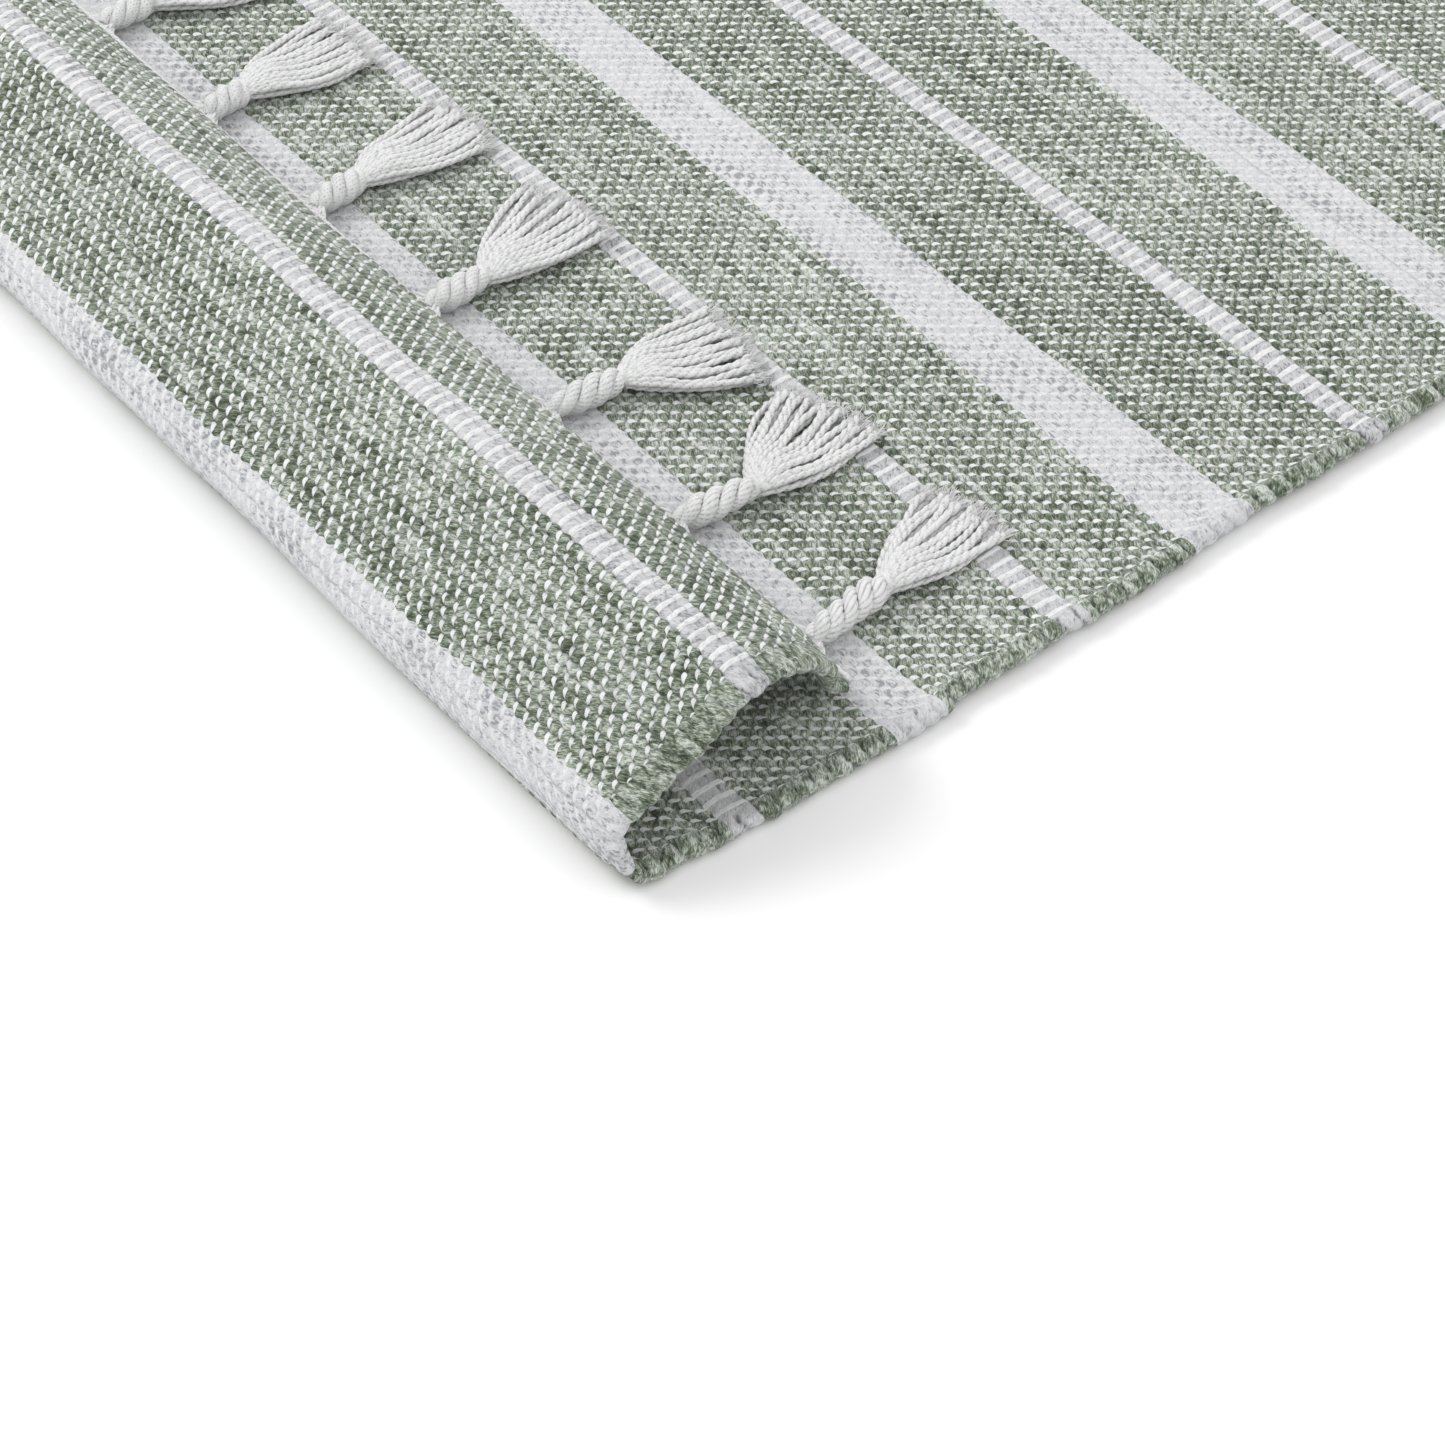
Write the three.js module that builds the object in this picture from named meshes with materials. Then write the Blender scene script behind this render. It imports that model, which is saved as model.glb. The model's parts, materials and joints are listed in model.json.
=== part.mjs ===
// Flat-woven runner rug, sage green with light stripes, lying flat with one end folded back over itself.
// The folded end stands as a hollow loop, and its tassels lie on the face of the rug.
// Millimetres. +X runs along the warp, from the folded end to the far end. +Y runs along the weft.
// +Z is up, and the rug rests on z = 0. The origin is under the middle of the rug's outer box.
import * as THREE from 'three';

// Cloth
const PICK = 3.45;          // spacing of the weft picks along the rug
const PICKS = 559;          // picks from end to end
const THICK = 4.5;          // thickness of the weave
const WIDTH = 700;          // between the selvedges
const END_WIDTH = 656;      // the last picks are drawn in
const GAP = 0.3;            // clearance between neighbouring pieces

// The fold, from the flat field to the folded end: picks in each length of cloth, and its width.
// turn is the bend in degrees where the length begins: positive closes the fold, negative opens it.
const FOLD = [
  { name: 'fold_low', picks: 2, turn: 38.625, width: 690 },
  { name: 'fold_mid', picks: 3, turn: 38.625, width: 682 },
  { name: 'fold_high', picks: 2, turn: 38.625, width: 676 },
  { name: 'roof_panel', picks: 17, turn: 38.625, width: 674 },
  { name: 'ridge_rib', picks: 3, turn: 36, width: 672 },
  { name: 'flap_panel', picks: 6, turn: 21, width: 669 },
  { name: 'flap_tail', picks: 7, turn: 28.5, width: 663 },
  { name: 'toe_panel', picks: 2, turn: -30, width: END_WIDTH },
];
const END_TURN = -30;       // bend between the toe and the end cord, which lies level

// End cords: the twined line that locks the last pick
const CORD_LENGTH = 2.6;
const CORD_HEIGHT = 4.5;
const CORD_BEVEL = 0.8;     // along the end of the cord

// Tassels
const TASSELS = 10;
const TASSEL_SPACING = 67.5;
const NECK_RADIUS = 4.25;
const ROOT_RADIUS = 1.6;
const ROOT_LENGTH = 5;
const ROOT_GAP = 1.6;       // from the cord to a neck, so that a neck may lift and turn aside
const TIE_RADIUS = 3.4;
const TIE_LENGTH = 3;
const NECK_SIDES = 10;
const TASSEL_RISE = 2.05;   // axis of a neck above the middle of the cloth, towards the face
const SKIRT_THICK = 6.6;
const TIE_WIDTH = 8;
const TIE_BEVEL = 2;         // the skirt starts on a point, so that it may turn aside from the neck
const TIE_POINT = 2.4;
const SHOULDER_SHARE = 0.30; // of the skirt's length, from the tie
const SHOULDER_FULL = 0.64;  // of the width at the tips
const TIP_CORNER = 4;        // the tips at the sides end this much short of the skirt's length
const TIP_BOW = 3;           // bow of the line of tips
const WAIST_SHARE = 0.94;    // of the neck's radius, half way along it
// How each tassel lies, from the -Y side: neck length, the headings of the neck and of the skirt,
// and the skirt's length and its width at the tips.
const LAY = [
  { neck: 36, neckYaw: 6, skirtYaw: 11, skirt: 45, tips: 33 },
  { neck: 32, neckYaw: -6, skirtYaw: 18, skirt: 46, tips: 42 },
  { neck: 31, neckYaw: -5, skirtYaw: -12, skirt: 43, tips: 40 },
  { neck: 26, neckYaw: 2, skirtYaw: 15, skirt: 47, tips: 40 },
  { neck: 23, neckYaw: 8, skirtYaw: 5, skirt: 50, tips: 33 },
  { neck: 19, neckYaw: 9, skirtYaw: 1, skirt: 48, tips: 36 },
  { neck: 22, neckYaw: 3, skirtYaw: -6, skirt: 46, tips: 36 },
  { neck: 25, neckYaw: -4, skirtYaw: 8, skirt: 45, tips: 38 },
  { neck: 28, neckYaw: 4, skirtYaw: -5, skirt: 47, tips: 35 },
  { neck: 27, neckYaw: -3, skirtYaw: 4, skirt: 46, tips: 37 },
];

const SAGE = { color: 0x9aa893, roughness: 0.95, metalness: 0 };
const LIGHT = { color: 0xcfd0d0, roughness: 0.95, metalness: 0 };
const WHITE = { color: 0xe3e3e0, roughness: 0.95, metalness: 0 };
const COLOURS = { fold_mid: LIGHT, fold_high: LIGHT, ridge_rib: WHITE };

const radians = THREE.MathUtils.degToRad;
const rug = new THREE.Group();

function addPiece(group, name, geometry, colour) {
  const mesh = new THREE.Mesh(geometry, new THREE.MeshStandardMaterial(colour));
  mesh.name = name;
  group.add(mesh);
  return mesh;
}

// Section of one straight length of cloth. x runs from its near hinge line to its far one, and
// positive y is the underside of the rug. On the hollow side of a bend the length is mitred.
function clothSection(length, turnBefore, turnAfter) {
  const half = THICK / 2;
  const inset = GAP / 2;
  const mitre = (turn) => half * Math.tan(radians(Math.abs(turn)) / 2);
  const under = (turn) => inset + (turn < 0 ? mitre(turn) : 0);
  const face = (turn) => inset + (turn > 0 ? mitre(turn) : 0);
  const shape = new THREE.Shape();
  shape.moveTo(face(turnBefore), -half);
  shape.lineTo(length - face(turnAfter), -half);
  shape.lineTo(length - inset, 0);
  shape.lineTo(length - under(turnAfter), half);
  shape.lineTo(under(turnBefore), half);
  shape.lineTo(inset, 0);
  return shape;
}

// A section drawn in x and y becomes a solid that stands in X and Z and is centred on Y = 0.
function alongWeft(shape, width) {
  const geometry = new THREE.ExtrudeGeometry(shape, { depth: width, bevelEnabled: false });
  geometry.translate(0, 0, -width / 2);
  geometry.rotateX(Math.PI / 2);
  return geometry;
}

function neckGeometry(length) {
  const waist = NECK_RADIUS * WAIST_SHARE;
  const profile = [
    [0, 0],
    [ROOT_RADIUS, 0],
    [NECK_RADIUS, ROOT_LENGTH],
    [waist, (ROOT_LENGTH + length - TIE_LENGTH) / 2],
    [NECK_RADIUS, length - TIE_LENGTH],
    [TIE_RADIUS, length - TIE_LENGTH / 2],
    [TIE_RADIUS, length],
    [0, length],
  ];
  const points = profile.map(([radius, along]) => new THREE.Vector2(radius, along));
  const geometry = new THREE.LatheGeometry(points, NECK_SIDES);
  geometry.rotateZ(-Math.PI / 2);
  return geometry;
}

function skirtGeometry(length, tips) {
  const shoulder = length * SHOULDER_SHARE;
  const full = (tips / 2) * SHOULDER_FULL;
  const outline = new THREE.Shape();
  outline.moveTo(0, -TIE_POINT / 2);
  outline.lineTo(TIE_BEVEL, -TIE_WIDTH / 2);
  outline.lineTo(shoulder, -full);
  outline.lineTo(length - TIP_CORNER, -tips / 2);
  outline.quadraticCurveTo(length + TIP_BOW, 0, length - TIP_CORNER, tips / 2);
  outline.lineTo(shoulder, full);
  outline.lineTo(TIE_BEVEL, TIE_WIDTH / 2);
  outline.lineTo(0, TIE_POINT / 2);
  const options = { depth: SKIRT_THICK, bevelEnabled: false, curveSegments: 6 };
  const geometry = new THREE.ExtrudeGeometry(outline, options);
  geometry.translate(0, 0, -NECK_RADIUS);
  return geometry;
}

// One tassel, with its neck leaving the cord along +X
function addTassel(group, name, lay) {
  const tassel = new THREE.Group();
  tassel.rotation.z = radians(lay.neckYaw);
  addPiece(tassel, `${name}_neck`, neckGeometry(lay.neck), WHITE);
  const skirt = addPiece(tassel, `${name}_skirt`, skirtGeometry(lay.skirt, lay.tips), WHITE);
  skirt.position.x = lay.neck + 2 * GAP;
  skirt.rotation.z = radians(lay.skirtYaw - lay.neckYaw);
  group.add(tassel);
  return tassel;
}

function addTasselRow(prefix, rootX, axisZ, order) {
  order.forEach((lay, i) => {
    const number = String(i + 1).padStart(2, '0');
    const tassel = addTassel(rug, `${prefix}_${number}`, lay);
    const y = (i - (TASSELS - 1) / 2) * TASSEL_SPACING;
    tassel.position.set(rootX, y, axisZ);
  });
}

// A length of cloth placed at the hinge line (x, z), heading away from the field. A heading of 180
// degrees runs along -X.
function addLength(name, x, z, heading, length, turnBefore, turnAfter, width) {
  const shape = clothSection(length, turnBefore, turnAfter);
  const panel = addPiece(rug, name, alongWeft(shape, width), COLOURS[name] || SAGE);
  panel.position.set(x, 0, z);
  panel.rotation.y = -radians(heading);
}

// The flat field ends at the first hinge line, which is x = 0 here.
const foldPicks = FOLD.reduce((sum, part) => sum + part.picks, 0);
const fieldLength = (PICKS - foldPicks) * PICK;
addLength('base_field', fieldLength, THICK / 2, 180, fieldLength, 0, FOLD[0].turn, WIDTH);

// The fold goes round from the first hinge line to the end cord.
let x = 0;
let z = THICK / 2;
let heading = 180;
FOLD.forEach((part, i) => {
  const length = part.picks * PICK;
  const turnAfter = i + 1 < FOLD.length ? FOLD[i + 1].turn : END_TURN;
  heading -= part.turn;
  addLength(part.name, x, z, heading, length, part.turn, turnAfter, part.width);
  x += length * Math.cos(radians(heading));
  z += length * Math.sin(radians(heading));
});
heading -= END_TURN;

function addCord(name, startX, middleZ, mitreSide) {
  const inset = GAP / 2 + (CORD_HEIGHT / 2) * Math.tan(radians(Math.abs(END_TURN)) / 2) * mitreSide;
  const half = CORD_HEIGHT / 2;
  const shape = new THREE.Shape();
  shape.moveTo(GAP / 2, -half);
  shape.lineTo(CORD_LENGTH - CORD_BEVEL, -half);
  shape.lineTo(CORD_LENGTH, -half / 2);
  shape.lineTo(CORD_LENGTH, half / 2);
  shape.lineTo(CORD_LENGTH - CORD_BEVEL, half);
  shape.lineTo(inset, half);
  shape.lineTo(GAP / 2, 0);
  const cord = addPiece(rug, name, alongWeft(shape, END_WIDTH), WHITE);
  cord.position.set(startX, 0, middleZ);
}
addCord('end_cord_folded', x, z, 1);
addCord('end_cord_far', fieldLength, THICK / 2, 0);
addTasselRow('tassel_folded', x + CORD_LENGTH + ROOT_GAP, z - TASSEL_RISE, LAY);
const farOrder = [...LAY].reverse();
const farRoot = fieldLength + CORD_LENGTH + ROOT_GAP;
addTasselRow('tassel_far', farRoot, THICK / 2 + TASSEL_RISE, farOrder);

// Puts the middle of the outer box over the origin.
rug.updateMatrixWorld(true);
const middle = new THREE.Box3().setFromObject(rug, true).getCenter(new THREE.Vector3());
rug.position.x = -middle.x;

const part = new THREE.Group();
part.add(rug);
export default part;
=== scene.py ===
import json
import math

import bpy
import numpy as np
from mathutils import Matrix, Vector


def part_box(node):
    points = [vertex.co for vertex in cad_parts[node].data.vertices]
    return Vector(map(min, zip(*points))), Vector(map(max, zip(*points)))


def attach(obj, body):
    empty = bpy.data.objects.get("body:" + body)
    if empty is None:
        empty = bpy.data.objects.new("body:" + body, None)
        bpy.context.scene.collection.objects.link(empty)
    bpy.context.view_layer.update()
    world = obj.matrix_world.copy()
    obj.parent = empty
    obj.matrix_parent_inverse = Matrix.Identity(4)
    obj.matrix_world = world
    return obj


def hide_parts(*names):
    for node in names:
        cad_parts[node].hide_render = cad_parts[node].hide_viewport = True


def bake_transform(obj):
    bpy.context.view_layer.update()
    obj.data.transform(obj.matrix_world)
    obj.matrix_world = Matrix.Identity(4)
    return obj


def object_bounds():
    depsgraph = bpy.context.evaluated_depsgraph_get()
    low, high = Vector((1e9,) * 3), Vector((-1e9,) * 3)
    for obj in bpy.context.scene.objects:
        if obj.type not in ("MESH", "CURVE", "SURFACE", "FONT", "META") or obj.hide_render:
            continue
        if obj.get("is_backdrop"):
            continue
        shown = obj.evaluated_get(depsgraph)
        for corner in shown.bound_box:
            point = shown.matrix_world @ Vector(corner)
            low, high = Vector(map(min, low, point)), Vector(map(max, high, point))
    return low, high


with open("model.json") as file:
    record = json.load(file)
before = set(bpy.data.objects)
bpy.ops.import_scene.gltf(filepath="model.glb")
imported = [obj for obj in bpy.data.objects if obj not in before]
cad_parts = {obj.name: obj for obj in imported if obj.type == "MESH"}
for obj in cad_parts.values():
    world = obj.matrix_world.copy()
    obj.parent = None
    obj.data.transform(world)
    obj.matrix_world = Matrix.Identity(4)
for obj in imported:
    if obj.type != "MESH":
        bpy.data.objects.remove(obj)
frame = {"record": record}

CAD_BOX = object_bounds()

# ---------------------------------------------------------------- sizes, in metres
PICK = 0.00345  # spacing of the weft picks, along the rug
WARP = 0.00277  # spacing of the warp yarns, across the rug
LAST_WARP = 123  # warps on each side of the middle one
HALF_WIDTH = 0.350
VALLEY = 0.00115  # half thickness between two picks
CREST = 0.00236  # half thickness over a pick
DOT = 0.00206  # half thickness over a warp that crosses a pick
RIB_CREST = 0.00240  # half thickness over a bundled rib
RIB_FLOAT = 0.00300  # half thickness over a warp that floats across a rib
EDGE_RADIUS = 0.0031  # of the rope-like turns along the selvedge
EDGE_BAND = 0.0095  # width of the selvedge that shows no warps
EDGE_SWING = 1.2  # picks that a selvedge loop swings round by, across its band
SOLE = 0.00225  # middle of the cloth above the floor
CROWD = 0.12  # picks by which a fat turn of weft crowds the warps beside it
SWELL = 0.0056  # how far the flap swells outwards at its near corner
MOST_BULGE = 0.0036  # cloth bulging more than this would sink into the floor once opened flat
EDGE_WAVES = (0.0011, 0.0005)  # slow and quick waves of the selvedge's line
EDGE_FLOAT = 0.0008  # how far the selvedge stands off the floor
BILLOWS = (0.0013, 0.0008)  # wide and narrow billows of the folded part
LOOSE_PICKS = 43  # the folded part that lies loosely, from the folded end
WANDERS = (0.20, 0.50)  # picks by which each line of weft wanders, quickly and slowly

# Widths of the bands in picks, from the folded end: sage, rib, sage, light and so on.
SAGE_PICKS = (16, 15, 11, 15, 15, 14)
LIGHT_PICKS = (6, 6)
LATER_SAGE, LATER_LIGHT, RIB = 15, 8, 3
PICKS = 559
SAGE, LIGHT, WHITE = 0, 1, 2


def bands():
    """The kind of yarn of each pick, from the folded end, and the first pick of each rib."""
    kinds, ribs, turn = [], [], 0
    while len(kinds) < PICKS:
        kinds += [SAGE] * (SAGE_PICKS[turn] if turn < len(SAGE_PICKS) else LATER_SAGE)
        if turn % 2 == 0:
            ribs.append(len(kinds))
            kinds += [WHITE] * RIB
        else:
            light = LIGHT_PICKS[turn // 2] if turn // 2 < len(LIGHT_PICKS) else LATER_LIGHT
            kinds += [LIGHT] * light
        turn += 1
    kinds = np.array(kinds[:PICKS])
    ribs = [r for r in ribs if r + RIB < PICKS]
    return kinds, np.array(ribs)


YARN, RIBS = bands()


# ---------------------------------------------------------------- smooth seeded noise
def steps(x):
    x = np.clip(x, 0, 1)
    return x * x * (3 - 2 * x)


class Field:
    """A smooth random surface of two coordinates, the same one for the same seed."""

    def __init__(self, seed, size=64):
        self.values = np.random.default_rng(seed).uniform(-1, 1, (size, size))

    def at(self, a, b):
        a, b = np.broadcast_arrays(np.asarray(a, float), np.asarray(b, float))
        i, j = np.floor(a).astype(int), np.floor(b).astype(int)
        u, v = steps(a - i), steps(b - j)
        n = len(self.values)
        value = lambda x, y: self.values[x % n, y % n]
        low = value(i, j) * (1 - v) + value(i, j + 1) * v
        high = value(i + 1, j) * (1 - v) + value(i + 1, j + 1) * v
        return low * (1 - u) + high * u


THICKNESS, WANDER, SHIFT = Field(1, 97), Field(2, 89), Field(3, 101)
EDGE_LINE, EDGE_LIFT, LOOSE = Field(4), Field(5), Field(6)


# ---------------------------------------------------------------- the fold, as a smooth path
JOINTS = {j["name"]: j for j in frame["record"]["behaviour"]["joints"]}
BENDS = ["fold", "fold_bend_2", "fold_bend_3", "fold_bend_4",
         "ridge_bend_1", "ridge_bend_2", "flap_bend", "toe_bend_1", "toe_bend_2"]
HINGES = np.array([[JOINTS[b]["pos_m"][0], JOINTS[b]["pos_m"][2]] for b in BENDS])
TURNS = np.radians([-JOINTS[b]["range_deg"][0] * JOINTS[b]["axis"][1] for b in BENDS])
ALONG = np.concatenate([[0], np.cumsum(np.linalg.norm(np.diff(HINGES, axis=0), axis=1))])
BEND_PICKS = (ALONG[-1] - ALONG) / PICK  # each hinge line, in picks from the folded end
BEND_HALF = PICK  # a bend takes this much cloth on each side of its hinge line
PATH_STEP = 0.00005
# How far the headings of the roof and the flap's two panels are bowed, to round them
BULGES = {3: math.radians(6), 5: math.radians(7), 6: math.radians(7)}


def bend_share(t, at):
    return steps((t - at + BEND_HALF) / (2 * BEND_HALF))


def walk(t, heading):
    """The x and z reached by walking along the cloth with these headings."""
    middle = (heading[1:] + heading[:-1]) / 2
    x = HINGES[0, 0] + BEND_HALF + np.concatenate([[0], np.cumsum(np.cos(middle))]) * PATH_STEP
    z = HINGES[0, 1] + np.concatenate([[0], np.cumsum(np.sin(middle))]) * PATH_STEP
    return np.stack([x, z])


def fold_path():
    """Distances from the first hinge line towards the folded end, and the x, z and heading there."""
    t = np.arange(-BEND_HALF, ALONG[-1] + 2 * PICK, PATH_STEP)
    heading = np.full_like(t, math.pi)
    for at, turn in zip(ALONG, TURNS):
        heading -= turn * bend_share(t, at)
    flat = walk(t, heading)
    for panel, bulge in BULGES.items():
        a, b = ALONG[panel], ALONG[panel + 1]
        inside = bend_share(t, a) * (1 - bend_share(t, b))
        heading += bulge * inside * (1 - 2 * (t - a) / (b - a))
    round_path = walk(t, heading)
    # Each panel keeps its ends, and the path is drawn out to end on the last hinge line.
    for axis in (0, 1):
        lost = flat[axis] - round_path[axis]
        round_path[axis] += np.interp(t, ALONG, np.interp(ALONG, t, lost))
        end = HINGES[-1, axis] - np.interp(ALONG[-1], t, round_path[axis])
        round_path[axis] += end * np.clip(t / ALONG[-1], 0, 1)
    return t, round_path[0], round_path[1], heading


PATH = fold_path()


def path_at(pick):
    """The middle of the cloth at a distance in picks from the folded end: x, z and heading."""
    t = ALONG[-1] - np.asarray(pick, float) * PICK
    flat = t < PATH[0][0]
    x = np.where(flat, PATH[1][0] + PATH[0][0] - t, np.interp(t, PATH[0], PATH[1]))
    return x, np.interp(t, PATH[0], PATH[2]), np.interp(t, PATH[0], PATH[3])


def path_point(pick):
    x, z, _ = path_at(pick)
    return (float(x), 0.0, float(z))


# The middle of each length of the fold, in picks from the folded end
NODE_PICKS = {"toe_panel": 1, "flap_tail": 5.5, "flap_panel": 12, "ridge_rib": 16.5, "roof_panel": 26,
              "fold_high": 36, "fold_mid": 38.5, "fold_low": 41}
FULL_WIDTH_PICKS = (60, PICKS - 90)  # between these the cloth has its full width


def half_width(pick):
    """The cloth draws in towards the folded end and towards the far end."""
    at, wide = [], []
    for node in NODE_PICKS:
        at.append(NODE_PICKS[node])
        wide.append(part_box(node)[1].y)
    at = np.array([*at, *FULL_WIDTH_PICKS, PICKS])
    wide = np.array([*wide, HALF_WIDTH, HALF_WIDTH, wide[0]])
    return np.interp(pick, at, wide)


# ---------------------------------------------------------------- the weave, as a relief
def rounded(q, power=2.2):
    return np.sqrt(np.clip(1 - np.abs(q) ** power, 0, 1))


def weave_height(p, v, side):
    """Half thickness of the cloth at pick p and warp v. side is 0 on the underside, 1 on the face."""
    p, v = np.broadcast_arrays(p, v)
    k = np.clip(np.floor(p + 1e-6).astype(int), 0, PICKS - 1)
    q = 2 * np.clip(p - k, 0, 1) - 1
    kind = YARN[k]
    parity = np.where(kind == WHITE, 0, k) + side
    w = (v + parity) / 2
    dot = np.abs(w - np.round(w)) * 2
    thick = 1 + 0.15 * THICKNESS.at(k * 7.37, v / 9)
    crossing = 0.5 - 0.5 * np.cos(math.pi * dot)
    shallow = np.where(kind == LIGHT, 0.90, 0.52)
    knuckle = (0.50 + 0.50 * crossing) * (shallow + (1 - shallow) * rounded(q, 2.6))
    weft = VALLEY + (CREST * thick - VALLEY) * knuckle
    each = np.round(w) * 5.3 + k * 3.7
    low = 1 + 0.16 * LOOSE.at(each, k * 1.9)
    warp = VALLEY + (DOT * low - VALLEY) * rounded(dot / 0.42, 4) * (0.60 + 0.40 * (1 - q * q))
    plain = np.maximum(weft, warp)
    plain = np.where(kind == LIGHT, VALLEY + (plain - VALLEY) * 0.45 + 0.0005, plain)
    first = RIBS[np.clip(np.searchsorted(RIBS, k, "right") - 1, 0, len(RIBS) - 1)]
    across = 2 * np.clip((p - first) / RIB, 0, 1) - 1
    swell = 0.30 + 0.70 * rounded(across * 0.93, 2.4)
    bundle = VALLEY + (RIB_CREST - VALLEY) * swell * (0.80 + 0.20 * rounded(q))
    floats = (0.35 + 0.65 * rounded(across * 0.96, 3)) * rounded(dot / 0.36, 2)
    floats = VALLEY + (RIB_FLOAT - VALLEY) * floats
    pinch = 0.0003 * (1 - steps((dot - 0.3) / 0.4))
    rib = np.maximum(bundle - pinch, floats)
    return np.where(kind == WHITE, rib, plain)


def edge_loop(p, y, around, hand):
    """Place along the selvedge in loops: the picks turn back in pairs and swing round as they do."""
    band = np.clip((np.abs(y) - HALF_WIDTH + EDGE_BAND) / EDGE_BAND, 0, 1)
    return (p + EDGE_SWING * band ** 2 + 0.25 * around * hand) / 2 + 0.25 * hand


def edge_height(p, y, around, hand):
    """The turns of the picks make a row of fat round loops along the selvedge."""
    out = np.sin(around)
    lump = edge_loop(p, y, around, hand)
    bead = rounded(2 * (lump - np.floor(lump)) - 1, 2)
    big = 1 + 0.14 * THICKNESS.at(np.floor(lump) * 5.1 + 40, hand * 9)
    pick = rounded(2 * (p - np.floor(p + 1e-6)) - 1, 2)
    apart = (0.50 + 0.50 * bead) * (0.86 + 0.14 * pick)
    return EDGE_RADIUS * ((1 - out) * apart + out * (0.58 + 0.42 * bead)) * big


class Loop:
    """One line round the cloth: across the face, round a selvedge, back under it, round the other.
    y: place across the flat cloth. n: share of the height, to the underside (+1) or face (-1).
    out: share that goes outwards at a selvedge. v: place in warps for the pattern.
    side: 1 on the face. around: angle round the selvedge, from the face."""

    def __init__(self, face_lines, under_lines):
        arc = np.linspace(0, math.pi, 9)[1:-1]
        y_edge = HALF_WIDTH - EDGE_RADIUS
        face, under = np.sort(face_lines), np.sort(under_lines)[::-1]
        one = np.ones_like
        self.y = np.concatenate([face, y_edge * one(arc), under, -y_edge * one(arc)])
        self.n = np.concatenate([-one(face), -np.cos(arc), one(under), np.cos(arc)])
        self.out = np.concatenate([0 * face, np.sin(arc), 0 * under, -np.sin(arc)])
        turn = EDGE_RADIUS * np.minimum(arc, math.pi - arc) / WARP
        run = y_edge / WARP + turn
        self.v = np.concatenate([face / WARP, run, under / WARP, -run])
        self.side = np.concatenate([one(face), (arc < math.pi / 2) * 1.0, 0 * under,
                                    (arc > math.pi / 2) * 1.0])
        self.around = np.concatenate([0 * face, arc, math.pi * one(under), math.pi - arc])
        self.faces, self.unders = len(face), len(under)
        self.arc = len(arc)


def edge_lines(fine):
    """Places across the selvedge band of one side of the cloth."""
    inner, outer = (LAST_WARP + 0.5) * WARP, HALF_WIDTH - EDGE_RADIUS
    return np.linspace(inner, outer, fine + 1)[1:] if fine else np.array([outer])


def warp_lines(near, far, split, fine=4):
    """Lines across the cloth: near per warp up to the warp split, then far per warp."""
    first = np.arange(-LAST_WARP * near, split * near + 1) / near
    rest = np.arange(split * far + 1, LAST_WARP * far + 1) / far
    inside = np.concatenate([first, rest]) * WARP
    edge = edge_lines(fine)
    return np.concatenate([-edge[::-1], inside, edge])


def cloth_points(p, loop):
    """Places and pattern coordinates of a grid of picks p by the loop's lines."""
    P = np.asarray(p, float)[:, None]
    y, n, out = loop.y[None], loop.n[None], loop.out[None]
    v = loop.v[None]
    hand = np.sign(loop.y)[None]
    height = np.where(loop.side[None] > 0, weave_height(P, v, 1), weave_height(P, v, 0))
    inner = HALF_WIDTH - EDGE_BAND
    edge = steps((np.abs(y) - inner) / 0.0045)
    height = height * (1 - edge) + edge_height(P, y, loop.around[None], hand) * edge
    lift = np.clip((height - VALLEY) / (CREST - VALLEY), 0, 1.3)
    lift = lift * (1 - edge) + np.clip(height / EDGE_RADIUS - 0.5, 0, 0.6) * 2.2 * edge
    # A little wander of the picks and of the dots, as in hand weaving
    wander = WANDERS[0] * WANDER.at(P / 1.7 + 11, v / 14) + WANDERS[1] * WANDER.at(P / 30 + 3, v / 60)
    crowd = CROWD * np.cos(math.pi * P) * np.cos(math.pi * (v + loop.side[None])) * (1 - edge)
    held = steps(P / 3) * steps((PICKS - P) / 3)
    x, z, heading = path_at(P + (wander + crowd) * held)
    swell = steps(P / 5) * steps((17 - P) / 7) * np.clip((0.15 - y) / 0.5, 0, 1)
    shift = 0.15 * SHIFT.at(np.floor(P + 1e-6) * 3.3, v / 1.3) * (1 - edge) * WARP
    wide = half_width(P) / HALF_WIDTH
    wave = EDGE_WAVES[0] * EDGE_LINE.at(P / 9, hand * 7)
    wave = (wave + EDGE_WAVES[1] * EDGE_LINE.at(P / 3.1 + 9, hand * 5)) * hand
    wave = wave * steps((np.abs(y) - 0.8 * HALF_WIDTH) / (0.2 * HALF_WIDTH))
    across = (y + shift) * wide + out * height + wave
    # The thicker selvedge lies on the floor too, so it stands a little higher.
    raised = (EDGE_RADIUS - SOLE) * 1.15 * steps((np.abs(y) - inner + 0.006) / 0.009)
    raised = raised + EDGE_FLOAT * edge * (1 + EDGE_LIFT.at(P / 17, hand * 3))
    loose = BILLOWS[0] * LOOSE.at(P / 9, v / 26) + BILLOWS[1] * LOOSE.at(P / 6 + 20, v / 10)
    loose = loose * steps((LOOSE_PICKS - P) / 5) * steps(P / 6)
    bulge = loose + SWELL * swell
    bulge = np.where(bulge > 0, MOST_BULGE * np.tanh(bulge / MOST_BULGE), bulge)
    off = n * height - raised + bulge
    cos, sin = np.cos(heading), np.sin(heading)
    # On the floor the cloth is pressed flat underneath.
    up = np.maximum(z + cos * off, 0)
    points = np.stack(np.broadcast_arrays(x - sin * off, across, up), -1)
    pattern = np.stack(np.broadcast_arrays(P, v + loop.side[None], lift), -1)
    return points, pattern


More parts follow.
